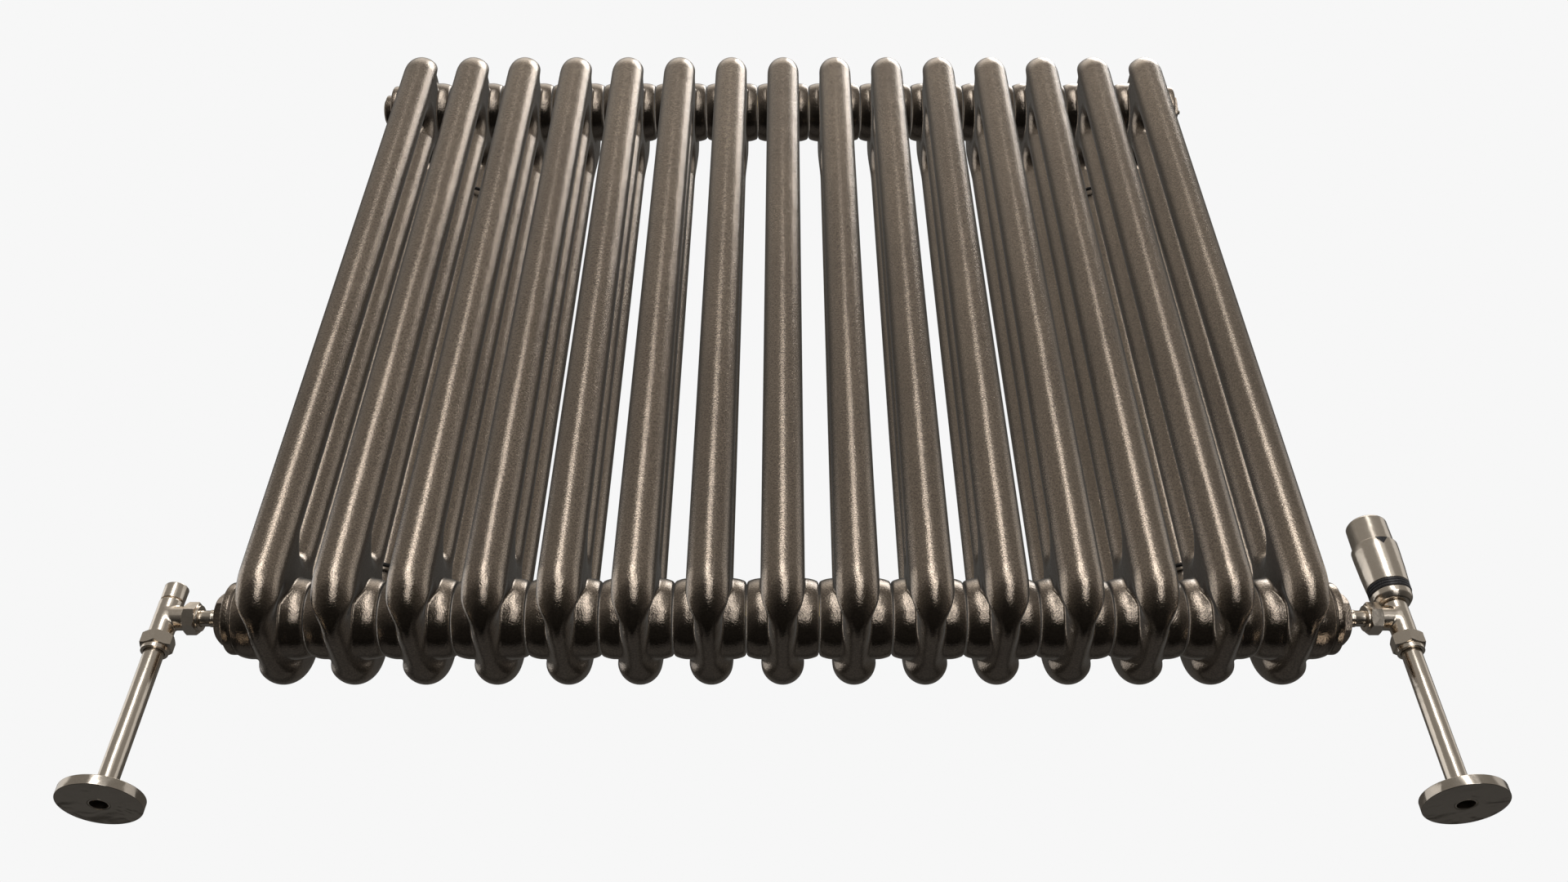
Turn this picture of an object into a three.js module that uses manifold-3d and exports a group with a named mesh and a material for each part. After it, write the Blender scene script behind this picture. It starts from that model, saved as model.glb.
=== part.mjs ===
// A sectional cast iron radiator: fifteen three-column sections joined by nipples, with end plugs
// and bushes, an angle thermostatic valve, an angle lockshield valve, two floor pipes with cover
// plates and four wall brackets. Millimetres, +Z up. The origin is on the wall, at floor level,
// midway along the radiator; the front faces -Y.
import * as THREE from 'three';
import Module from 'manifold-3d';
import { mergeVertices } from 'three/addons/utils/BufferGeometryUtils.js';

const wasm = await Module();
wasm.setup();

// ---- driving dimensions ----
const GAP = 0.3; // between pieces that touch
const SIDES = 12; // round a turned piece
const FINE_SIDES = 24; // round the larger ones
const SECTIONS = 15;
const PITCH = 60; // from one section to the next
const MID_DEPTH = 100; // from the wall to the columns' middle plane
const COLUMN_STEP = 52.2; // from one column to the next, front to back
const COLUMN_R = 18;
const CORNER_R = 48; // outside corner of a section, seen from its end
const HUB_LOW = 169;
const HUB_HIGH = 896;
const HUB_TO_END = 41.4; // from a hub's centre to the near end of the section
const HUB_TO_SLOT = 62; // from a hub's centre to the centre of the slot's round end
const HUB_R = 32.6;
const HUB_BORE_R = 21;
const THREAD_R = HUB_BORE_R - 0.5; // nipples, plugs and bushes in the hub bores
const WATERWAY_R = 15.5;
const FLAT = 1; // narrow flat left on the crown of each column
const NIPPLE_LENGTH = 18;
const NIPPLE_WALL = 3;

const HALF_ROW = (SECTIONS * PITCH) / 2;
const SPIGOT_END = -14; // how far a plug or bush reaches into its hub
const COLLAR_R = 30; // the collar of a plug or bush against its hub
const COLLAR_OUT = 7.5;
const FLANGE_OUT = 16.7; // the face of a plug's boss or a bush's hexagon
const FLANGE_R = 19.5;
const VENT_SCREW_R = 3;
const EDGE = 1.5; // chamfer
const PLAY = 0.4; // round a shaft or pipe in its bore

const VALVE_X = 513; // from the middle of the row to a valve's axis
const PIPE_R = 8.1;
const PIPE_BORE_R = 7;
const PIPE_TOP = 154;
const PLATE_R = 32;
const PLATE_THICK = 8;
const NUT_R = 13.86; // across the corners of a 24 mm hexagon, halved
const BODY_R = 10;
const BRACKET_X = 6 * PITCH; // behind the second section from each end
const BRACKET_LEVELS = [250, 793];

// ---- materials ----
const finish = (color, roughness, metalness) => new THREE.MeshStandardMaterial({ color, roughness, metalness });
const CAST_IRON = finish(0x4a4036, 0.35, 1);
const NICKEL = finish(0x9a8c7c, 0.25, 1);
const BRASS = finish(0xb08a4a, 0.4, 1);
const STEEL = finish(0x2a2725, 0.5, 0.8);

// ---- solids ----
function solid(geometry) {
  geometry.deleteAttribute('normal');
  geometry.deleteAttribute('uv');
  const merged = mergeVertices(geometry, 1e-4);
  return new wasm.Manifold(new wasm.Mesh({
    numProp: 3,
    vertProperties: Float32Array.from(merged.attributes.position.array),
    triVerts: Uint32Array.from(merged.index.array),
  }));
}

function mesh(name, shape, material) {
  const { vertProperties, triVerts } = shape.getMesh();
  const geometry = new THREE.BufferGeometry();
  geometry.setAttribute('position', new THREE.BufferAttribute(Float32Array.from(vertProperties), 3));
  geometry.setIndex(new THREE.BufferAttribute(Uint32Array.from(triVerts), 1));
  const part = new THREE.Mesh(geometry, material);
  part.name = name;
  return part;
}

// A solid turned about Z. The profile is a list of [radius, height], anticlockwise, and either
// starts and ends on the axis or closes on itself.
function turned(profile, sides = SIDES) {
  const points = profile.map(([r, z]) => new THREE.Vector2(r, z));
  return solid(new THREE.LatheGeometry(points, sides).rotateX(Math.PI / 2));
}

const rod = (r, low, high, sides) => turned([[0, low], [r, low], [r, high], [0, high]], sides);

const ring = (inner, outer, low, high) =>
  turned([[inner, low], [outer, low], [outer, high], [inner, high], [inner, low]]);

const alongX = (shape) => shape.rotate([0, 90, 0]);
const alongY = (shape) => shape.rotate([90, 0, 0]);

function box(size, centre) {
  return solid(new THREE.BoxGeometry(...size).translate(...centre));
}

// ---- a section ----
function arc(centreY, centreZ, radius, from, to, steps) {
  return Array.from({ length: steps + 1 }, (_, i) => {
    const angle = from + ((to - from) * i) / steps;
    return new THREE.Vector2(centreY + radius * Math.cos(angle), centreZ + radius * Math.sin(angle));
  });
}

// The outline of the section's flat side, whose edges the bevel then rounds by the column radius.
function sideOutline() {
  const bevel = COLUMN_R - FLAT / 2;
  const radius = CORNER_R - bevel;
  const right = COLUMN_STEP + COLUMN_R - CORNER_R;
  const low = HUB_LOW - HUB_TO_END + CORNER_R;
  const high = HUB_HIGH + HUB_TO_END - CORNER_R;
  const quarter = Math.PI / 2;
  const steps = 3;
  const outline = new THREE.Shape([
    ...arc(right, low, radius, -quarter, 0, steps),
    ...arc(right, high, radius, 0, quarter, steps),
    ...arc(-right, high, radius, quarter, 2 * quarter, steps),
    ...arc(-right, low, radius, 2 * quarter, 3 * quarter, steps),
  ]);
  for (const side of [-1, 1]) {
    outline.holes.push(new THREE.Path(slotOutline(side, (COLUMN_STEP - FLAT) / 2)));
  }
  return outline;
}

function slotOutline(side, radius) {
  const middle = (side * COLUMN_STEP) / 2;
  const steps = 3;
  return [
    ...arc(middle, HUB_LOW + HUB_TO_SLOT, radius, Math.PI, 2 * Math.PI, steps),
    ...arc(middle, HUB_HIGH - HUB_TO_SLOT, radius, 0, Math.PI, steps),
  ];
}

function columns() {
  const bevel = COLUMN_R - FLAT / 2;
  const geometry = new THREE.ExtrudeGeometry(sideOutline(), {
    depth: FLAT, bevelThickness: bevel, bevelSize: bevel, bevelSegments: 2,
  });
  const axes = new THREE.Matrix4().makeBasis(
    new THREE.Vector3(0, 1, 0), new THREE.Vector3(0, 0, 1), new THREE.Vector3(1, 0, 0),
  );
  return solid(geometry.translate(0, 0, -FLAT / 2).applyMatrix4(axes));
}

function section() {
  const half = PITCH / 2 - GAP / 2;
  const inset = 5; // keeps the ends of the outer bores inside the rounded corners
  let casting = columns();
  for (const level of [HUB_LOW, HUB_HIGH]) {
    casting = casting.add(alongX(rod(HUB_R, -half, half)).translate([0, 0, level]));
  }
  for (const step of [-1, 0, 1]) {
    const bore = rod(WATERWAY_R, HUB_LOW + inset, HUB_HIGH - inset, 6);
    casting = casting.subtract(bore.translate([0, step * COLUMN_STEP, 0]));
  }
  const channel = 1.6 * WATERWAY_R; // width and height of the waterway through a head
  for (const level of [HUB_LOW, HUB_HIGH]) {
    casting = casting
      .subtract(box([channel, 2 * COLUMN_STEP, channel], [0, 0, level]))
      .subtract(alongX(rod(HUB_BORE_R, -PITCH, PITCH)).translate([0, 0, level]));
  }
  return casting;
}

const nipple = () => alongX(ring(THREAD_R - NIPPLE_WALL, THREAD_R, -NIPPLE_LENGTH / 2, NIPPLE_LENGTH / 2));

// ---- plugs and bushes, each drawn for the right-hand end and pointing along +X ----
const SPIGOT_AND_COLLAR = [
  [0, SPIGOT_END], [THREAD_R, SPIGOT_END], [THREAD_R, GAP / 2], [COLLAR_R, GAP / 2],
  [COLLAR_R, COLLAR_OUT - EDGE], [COLLAR_R - EDGE, COLLAR_OUT],
];

function blankPlug() {
  const face = FLANGE_OUT + 2.5;
  return alongX(turned([
    ...SPIGOT_AND_COLLAR, [FLANGE_R, COLLAR_OUT], [FLANGE_R, FLANGE_OUT], [15, FLANGE_OUT], [15, face], [0, face],
  ]));
}

function ventPlug() {
  const step = 13;
  const body = turned([
    ...SPIGOT_AND_COLLAR, [FLANGE_R, COLLAR_OUT], [FLANGE_R, step], [8, step], [8, FLANGE_OUT], [0, FLANGE_OUT],
  ]);
  return alongX(body.subtract(rod(VENT_SCREW_R + PLAY, SPIGOT_END - 1, FLANGE_OUT + 1)));
}

function ventScrew() {
  const square = box([3.6, 3.6, 7], [0, 0, FLANGE_OUT]);
  return alongX(rod(VENT_SCREW_R, 2, 14).add(square));
}

const TAIL_R = 6.7;
const TAIL_BORE_R = 5;

function bush() {
  const hexagon = rod(FLANGE_R + 2, COLLAR_OUT - 1, FLANGE_OUT, 6);
  const bore = rod(TAIL_R + PLAY, SPIGOT_END - 1, FLANGE_OUT + 1);
  return alongX(turned([...SPIGOT_AND_COLLAR, [0, COLLAR_OUT]]).add(hexagon).subtract(bore));
}

// ---- valves, each drawn about its own vertical axis with the radiator towards -X ----
const BRANCH_END = -23; // end of the valve body's threaded branch
const NUT_NEAR = -17;
const NUT_FAR = -27.5;
const FLANGE_THICK = 3; // the tail's flange, held in the union nut
const COLLAR_END = -29.5;
const TAIL_END = HALF_ROW + 4 - VALVE_X;
const SOCKET_LOW = 143;
const NUT_LOW = 139;
const NUT_HIGH = 150.5;
const NUT_COLLAR_R = 11;
const BORE_R = 6;
const SEAT_TOP = HUB_LOW + 8; // the end of the wide bore under the stem

function valveBody(top, stemR) {
  return rod(BODY_R, SOCKET_LOW, top)
    .add(alongX(rod(BODY_R, BRANCH_END, 0)).translate([0, 0, HUB_LOW]))
    .subtract(rod(PIPE_R + PLAY, SOCKET_LOW - 1, PIPE_TOP + 1))
    .subtract(rod(BORE_R, PIPE_TOP - 1, SEAT_TOP))
    .subtract(alongX(rod(BORE_R, BRANCH_END - 1, 0)).translate([0, 0, HUB_LOW]))
    .subtract(rod(stemR, HUB_LOW, top + 1));
}

function unionNut() {
  const nut = rod(NUT_R, NUT_FAR, NUT_NEAR, 6).add(rod(NUT_COLLAR_R, COLLAR_END, NUT_FAR + 1));
  const overBranch = rod(BODY_R + PLAY, BRANCH_END - FLANGE_THICK, NUT_NEAR + 1);
  const overTail = rod(TAIL_R + PLAY, COLLAR_END - 1, NUT_NEAR);
  return alongX(nut.subtract(overBranch.add(overTail))).translate([0, 0, HUB_LOW]);
}

function tail() {
  const face = BRANCH_END - GAP;
  const shoulder = BRANCH_END - FLANGE_THICK + GAP;
  const flangeR = BODY_R - PLAY;
  return alongX(turned([
    [TAIL_BORE_R, TAIL_END], [TAIL_R, TAIL_END], [TAIL_R, shoulder], [flangeR, shoulder],
    [flangeR, face], [TAIL_BORE_R, face], [TAIL_BORE_R, TAIL_END],
  ])).translate([0, 0, HUB_LOW]);
}

function compressionNut() {
  const nut = rod(NUT_R, NUT_LOW, NUT_HIGH, 6).add(rod(NUT_COLLAR_R, NUT_LOW - 4, NUT_LOW + 1));
  return nut
    .subtract(rod(PIPE_R + PLAY, NUT_LOW - 5, NUT_HIGH))
    .subtract(rod(BODY_R + PLAY, NUT_LOW + 1, NUT_HIGH + 1));
}

const olive = () => ring(PIPE_R + 0.3, BODY_R - 0.2, NUT_LOW + 1.3, SOCKET_LOW - GAP);
const pipe = () => ring(PIPE_BORE_R, PIPE_R, 0, PIPE_TOP);

function floorPlate() {
  const bore = PIPE_R + PLAY;
  return turned([
    [bore, 0], [PLATE_R, 0], [PLATE_R, PLATE_THICK - EDGE], [PLATE_R - EDGE, PLATE_THICK], [bore, PLATE_THICK],
    [bore, 0],
  ], FINE_SIDES);
}

const LOCKSHIELD_TOP = 185;
const STEM_R = 3;
const DISC_R = 5.2; // the valve disc at the foot of a stem

function lockshieldCap() {
  const low = LOCKSHIELD_TOP + GAP;
  const high = 200;
  const crown = 4;
  return turned([
    [0, high - crown], [7.5, high - crown], [7.5, low], [9.6, low], [9.6, high - 1], [8.6, high], [0, high],
  ]);
}

function lockshieldSpindle() {
  const low = HUB_LOW - 3;
  const top = LOCKSHIELD_TOP + 3;
  const stem = turned([[0, low], [DISC_R, low], [DISC_R, low + 3.5], [STEM_R, low + 6], [STEM_R, top], [0, top]]);
  return stem.add(box([4, 4, 5], [0, 0, top + 2]));
}

const TRV_TOP = 190;
const HEAD_LOW = 192.3;
const HEAD_TOP = 268;
const HEAD_BORE_R = 12.5;
const HEAD_BORE_TOP = 250;
const PIN_R = 1.6;
const PIN_TOP = 195;
const SPIGOT_R = 8.6; // the top of the body, where the collar screws on
const SPIGOT_LOW = TRV_TOP - 8;

function thermostaticBody() {
  const pinBore = PIN_R + 0.6;
  return valveBody(SPIGOT_LOW, pinBore).add(ring(pinBore, SPIGOT_R, SPIGOT_LOW - 1, TRV_TOP));
}

function thermostaticCollar() {
  const bore = SPIGOT_R + 0.6;
  const low = SPIGOT_LOW + GAP;
  const high = HEAD_LOW - GAP;
  return turned([
    [bore, low], [13, low], [17, low + 5.5], [17, high], [bore, high], [bore, low],
  ], FINE_SIDES);
}

function thermostaticPin() {
  const low = HUB_LOW - 9;
  return turned([[0, low], [DISC_R, low], [DISC_R, low + 3], [PIN_R, low + 4], [PIN_R, PIN_TOP], [0, PIN_TOP]]);
}

const thermostaticSensor = () => rod(HEAD_BORE_R - 1, PIN_TOP + 2.5, HEAD_BORE_TOP - 4);

function thermostaticHead() {
  return turned([
    [0, HEAD_BORE_TOP], [HEAD_BORE_R, HEAD_BORE_TOP], [HEAD_BORE_R, HEAD_LOW], [17.4, HEAD_LOW], [17.7, 200],
    [19.3, 236], [19.3, 241], [17.3, 244], [17.3, HEAD_TOP - 2], [15.5, HEAD_TOP], [0, HEAD_TOP],
  ], FINE_SIDES);
}

// ---- a wall bracket, hooked round the back column of a section ----
const STRIP = 3; // thickness of the steel strip
const PLATE_DEEP = 4;
const HOOK_IN = COLUMN_R + 0.9;
const HOOK_OUT = HOOK_IN + STRIP;

function wallBracket(side) {
  const band = new THREE.Shape([
    ...hookEdge(side, HOOK_OUT, 1),
    ...hookEdge(side, HOOK_IN, -1),
  ]);
  const hook = solid(new THREE.ExtrudeGeometry(band, { depth: STRIP, bevelEnabled: false }));
  const toWall = MID_DEPTH - COLUMN_STEP;
  const arm = box([10, toWall - HOOK_IN - 1, STRIP], [0, (toWall + HOOK_IN + 1) / 2 - GAP, 0]);
  const plate = box([30, PLATE_DEEP, 60], [0, toWall - PLATE_DEEP / 2, 0]);
  let bracket = hook.translate([0, 0, -STRIP / 2]).add(arm).add(plate);
  for (const height of [-20, 20]) {
    const screwHole = alongY(rod(2.75, -toWall - 1, -toWall + PLATE_DEEP + 1));
    bracket = bracket.subtract(screwHole.translate([0, 0, height]));
  }
  return bracket;
}

// One edge of the hook's band, from behind the column, round the side that faces the middle of
// the row, to the front; the inner edge runs back the other way.
function hookEdge(side, radius, way) {
  const behind = Math.PI / 2 + 0.3;
  const front = -Math.PI / 2;
  const steps = 7;
  const edge = Array.from({ length: steps + 1 }, (_, i) => {
    const angle = behind + ((front - behind) * i) / steps;
    return new THREE.Vector2(side * radius * Math.cos(angle), radius * Math.sin(angle));
  });
  return way > 0 ? edge : edge.reverse();
}

// ---- the assembly ----
const radiator = new THREE.Group();
const body = new THREE.Group();
body.position.set(0, -MID_DEPTH, 0);
radiator.add(body);

const sectionX = (n) => (n - (SECTIONS + 1) / 2) * PITCH;

function place(part, x, z, turn = 0) {
  part.position.set(x, 0, z);
  part.rotation.z = turn;
  body.add(part);
}

const casting = section();
for (let n = 1; n <= SECTIONS; n += 1) {
  place(mesh(`section_${n}`, casting, CAST_IRON), sectionX(n), 0);
}
for (let n = 1; n < SECTIONS; n += 1) {
  place(mesh(`nipple_${n}`, nipple(), BRASS), sectionX(n) + PITCH / 2, HUB_LOW);
}

place(mesh('blank_plug', blankPlug(), CAST_IRON), -HALF_ROW, HUB_HIGH, Math.PI);
place(mesh('vent_plug', ventPlug(), CAST_IRON), HALF_ROW, HUB_HIGH);
place(mesh('vent_screw', ventScrew(), NICKEL), HALF_ROW, HUB_HIGH);
place(mesh('left_bush', bush(), CAST_IRON), -HALF_ROW, HUB_LOW, Math.PI);
place(mesh('right_bush', bush(), CAST_IRON), HALF_ROW, HUB_LOW);

function placeValve(side, prefix, turn) {
  const x = side * VALVE_X;
  place(mesh(`${prefix}_union_nut`, unionNut(), NICKEL), x, 0, turn);
  place(mesh(`${prefix}_tail`, tail(), NICKEL), x, 0, turn);
  place(mesh(`${prefix}_compression_nut`, compressionNut(), NICKEL), x, 0, turn);
  place(mesh(`${prefix}_olive`, olive(), BRASS), x, 0, turn);
  place(mesh(`${prefix}_pipe`, pipe(), NICKEL), x, 0, turn);
  place(mesh(`${prefix}_floor_plate`, floorPlate(), NICKEL), x, 0, turn);
}

placeValve(-1, 'left', Math.PI);
place(mesh('lockshield_body', valveBody(LOCKSHIELD_TOP, STEM_R + 0.4), NICKEL), -VALVE_X, 0, Math.PI);
place(mesh('lockshield_cap', lockshieldCap(), NICKEL), -VALVE_X, 0);
place(mesh('lockshield_spindle', lockshieldSpindle(), BRASS), -VALVE_X, 0);

placeValve(1, 'right', 0);
place(mesh('thermostatic_body', thermostaticBody(), NICKEL), VALVE_X, 0);
place(mesh('thermostatic_collar', thermostaticCollar(), NICKEL), VALVE_X, 0);
place(mesh('thermostatic_pin', thermostaticPin(), STEEL), VALVE_X, 0);
place(mesh('thermostatic_head', thermostaticHead(), NICKEL), VALVE_X, 0);
place(mesh('thermostatic_sensor', thermostaticSensor(), BRASS), VALVE_X, 0);

for (const side of [-1, 1]) {
  const name = side < 0 ? 'left' : 'right';
  BRACKET_LEVELS.forEach((level, i) => {
    const bracket = mesh(`${name}_${i ? 'upper' : 'lower'}_bracket`, wallBracket(-side), STEEL);
    bracket.position.set(side * BRACKET_X, COLUMN_STEP, level);
    body.add(bracket);
  });
}

export default radiator;
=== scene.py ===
"""A sectional cast iron radiator with its valves, pipes, cover plates and wall brackets.

Shapes are worked out in millimetres about their own axes and placed in metres in the scene.
"""

import math

import bmesh
import bpy
import numpy as np
from mathutils import Matrix, Vector


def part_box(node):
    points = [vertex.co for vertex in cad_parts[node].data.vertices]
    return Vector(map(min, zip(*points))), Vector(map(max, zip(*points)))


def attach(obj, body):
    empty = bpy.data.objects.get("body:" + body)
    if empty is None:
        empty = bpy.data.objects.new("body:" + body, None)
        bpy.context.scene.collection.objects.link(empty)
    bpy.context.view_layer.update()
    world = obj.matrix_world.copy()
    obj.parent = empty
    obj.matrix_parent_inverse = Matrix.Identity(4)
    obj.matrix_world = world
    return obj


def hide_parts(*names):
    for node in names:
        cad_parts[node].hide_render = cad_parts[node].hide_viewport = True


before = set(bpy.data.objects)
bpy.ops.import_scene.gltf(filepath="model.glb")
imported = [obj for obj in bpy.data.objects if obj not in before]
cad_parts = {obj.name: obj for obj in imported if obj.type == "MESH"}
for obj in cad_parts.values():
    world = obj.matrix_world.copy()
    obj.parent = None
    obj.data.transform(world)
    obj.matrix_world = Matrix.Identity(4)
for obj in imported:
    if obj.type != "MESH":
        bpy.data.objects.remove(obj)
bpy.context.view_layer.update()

MM = 0.001
SECTIONS = 15


def middle(node):
    low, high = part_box(node)
    return (low + high) / 2


# ---- driving dimensions, in millimetres ----
section_low, section_high = (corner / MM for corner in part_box("section_1"))
HALF_WIDTH = (section_high.x - section_low.x) / 2
HALF_DEPTH = (section_high.y - section_low.y) / 2
HALF_HEIGHT = (section_high.z - section_low.z) / 2
HUB_OUT = (middle("vent_plug").z - middle("nipple_1").z) / MM / 2  # from mid-height to a hub
COLUMN_R = 18
BACK_COLUMN_R = 15.6  # of the middle and back columns, which are a little thinner
COLUMN_STEP = HALF_DEPTH - COLUMN_R
CORNER_R = 30  # of the line that the middles of the columns and heads follow
SLOT_R = COLUMN_STEP / 2
SLOT_OUT = HUB_OUT - 62  # from mid-height to the centre of a slot's round end
RIDGE_SHARE = 0.62  # of a column's width, left where the head crosses a hub on the outside
RIDGE_FRONT = (33, 52)  # from a hub's axis forwards, where the ridge starts to widen and is full width
RIDGE_BACK = (6, 32)  # the same, backwards
RIDGE_RISE = (-6, 12)  # from a hub's axis outwards, where the head starts to narrow and is a ridge
HUB_R = 33.5
HUB_TAPER = 3.0  # how much smaller a hub is at its rim
HUB_CORNER = 2.0
HUB_CREASE = 2.5  # how far the crease beside a hub is filled, and twice this on the hub's outer side
HUB_BORE_R = 21
GAP = 0.3  # between parts that are bolted up to each other
SLACK = 0.4  # between a bore and the part inside it


# ---- meshes ----
def new_mesh(name, points, faces):
    mesh = bpy.data.meshes.new(name)
    mesh.from_pydata([tuple(p) for p in points], [], [tuple(f) for f in faces])
    mesh.update()
    return mesh


def gradient(distance, points, reach=0.02):
    """The slope of a distance formula at each point."""
    slopes = []
    for axis in range(3):
        step = np.zeros(3)
        step[axis] = reach
        ahead = distance(*(points + step).T)
        behind = distance(*(points - step).T)
        slopes.append((ahead - behind) / (2 * reach))
    return np.stack(slopes, axis=1)


def edge_crossings(field, x, y, z):
    """The sum and count, for each grid cell, of the places where its edges cross the surface."""
    shape = tuple(n - 1 for n in field.shape)
    total = np.zeros((*shape, 3))
    count = np.zeros(shape)
    grid = np.stack([x, y, z], axis=-1)
    for axis in range(3):
        near = [slice(None)] * 3
        far = [slice(None)] * 3
        near[axis] = slice(0, -1)
        far[axis] = slice(1, None)
        a, b = field[tuple(near)], field[tuple(far)]
        crossed = (a < 0) != (b < 0)
        share = np.where(crossed, a / np.where(crossed, a - b, 1), 0)[..., None]
        crossing = grid[tuple(near)] * (1 - share) + grid[tuple(far)] * share
        others = [i for i in range(3) if i != axis]
        for u in (0, 1):
            for v in (0, 1):
                part = [slice(None)] * 3
                part[others[0]] = slice(u, u + shape[others[0]])
                part[others[1]] = slice(v, v + shape[others[1]])
                hit = crossed[tuple(part)]
                total += np.where(hit[..., None], crossing[tuple(part)], 0)
                count += hit
    return total, count


def surface_mesh(name, distance, xs, ys, zs):
    """A mesh of the surface where distance(x, y, z) is zero, with one point in each grid cell it crosses."""
    x, y, z = np.meshgrid(xs, ys, zs, indexing="ij")
    field = distance(x, y, z)
    total, count = edge_crossings(field, x, y, z)
    used = count > 0
    number = np.full(used.shape, -1)
    number[used] = np.arange(used.sum())
    points = total[used] / count[used][:, None]
    rounds, least_steepness, share_of_step = 4, 0.2, 0.8
    for _ in range(rounds):  # each one brings the points closer to the surface
        slope = gradient(distance, points)
        steepness = np.maximum((slope**2).sum(axis=1), least_steepness)
        points -= slope * (distance(*points.T) / steepness)[:, None] * share_of_step
    faces = []
    inside = field < 0
    for axis in range(3):
        near = [slice(1, -1)] * 3
        far = [slice(1, -1)] * 3
        near[axis] = slice(0, -1)
        far[axis] = slice(1, None)
        changed = inside[tuple(near)] != inside[tuple(far)]
        leaving = inside[tuple(near)]
        u, v = [(1, 2), (2, 0), (0, 1)][axis]
        corners = []
        for du, dv in [(0, 0), (1, 0), (1, 1), (0, 1)]:
            part = [slice(None)] * 3
            part[u] = slice(du, du + used.shape[u] - 1)
            part[v] = slice(dv, dv + used.shape[v] - 1)
            corners.append(number[tuple(part)])
        quads = np.stack(corners, axis=-1)
        faces.append(quads[changed & leaving])
        faces.append(quads[changed & ~leaving][:, ::-1])
    mesh = new_mesh(name, points * MM, np.concatenate(faces))
    slope = gradient(distance, points)
    normals = slope / np.linalg.norm(slope, axis=1)[:, None]
    mesh.shade_smooth()
    mesh.normals_split_custom_set_from_vertices([tuple(n) for n in normals])
    return mesh


def eased(profile, radius, steps=4):
    """The profile with its corners rounded off, apart from its two ends."""
    most = 0.45  # of the way to the next corner
    points = [profile[0]]
    for before, corner, after in zip(profile, profile[1:], profile[2:]):
        c = Vector(corner[:2])
        ways = []
        for other in (before, after):
            way = Vector(other[:2]) - c
            ways.append(way.normalized() * min(radius, most * way.length))
        for i in range(steps + 1):
            t = i / steps
            point = c + ways[0] * (1 - t) ** 2 + ways[1] * t**2
            points.append((point.x, point.y, *corner[2:]))
    points.append(profile[-1])
    return points


def turned_mesh(name, profile, sides=96, sharp=math.radians(38)):
    """A mesh turned about Z from (radius, height) points, anticlockwise, in millimetres. A third
    number is the width across the flats cut there, and a fourth is how many there are, if not six."""
    angle = np.arange(sides) * 2 * math.pi / sides
    points = []
    for radius, height, *flats in profile:
        reach = np.full(sides, float(radius))
        if flats:
            half = math.pi / (flats[1] if len(flats) > 1 else 6)
            from_flat = np.abs((angle + half) % (2 * half) - half)
            reach = np.minimum(reach, flats[0] / 2 / np.cos(from_flat))
        ring = [reach * np.cos(angle), reach * np.sin(angle), np.full(sides, float(height))]
        points.append(np.stack(ring, axis=1))
    points = np.concatenate(points) * MM
    faces = []
    for row in range(len(profile) - 1):
        for i in range(sides):
            j = (i + 1) % sides
            a, b = row * sides, (row + 1) * sides
            faces.append((a + i, a + j, b + j, b + i))
    mesh = new_mesh(name, points, faces)
    shape = bmesh.new()
    shape.from_mesh(mesh)
    bmesh.ops.remove_doubles(shape, verts=shape.verts, dist=0.001 * MM)
    bmesh.ops.dissolve_degenerate(shape, edges=shape.edges, dist=0.0001 * MM)
    for edge in shape.edges:
        edge.smooth = edge.calc_face_angle(0) < sharp
    for face in shape.faces:
        face.smooth = True
    shape.to_mesh(mesh)
    shape.free()
    return mesh


def place(name, mesh, at, body, material, node=None, turn=None):
    """Adds a piece at a point in metres, turned by a matrix, and hides the CAD node it stands for."""
    piece = bpy.data.objects.new(name, mesh)
    bpy.context.scene.collection.objects.link(piece)
    piece.matrix_world = Matrix.Translation(at) @ (turn or Matrix.Identity(4))
    if not mesh.materials:
        mesh.materials.append(material)
    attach(piece, body)
    if node:
        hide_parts(node)
    return piece


ALONG_X = Matrix.Rotation(math.pi / 2, 4, "Y")
ALONG_MINUS_X = Matrix.Rotation(-math.pi / 2, 4, "Y")
HALF_TURN = Matrix.Rotation(math.pi, 4, "Z")


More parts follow.
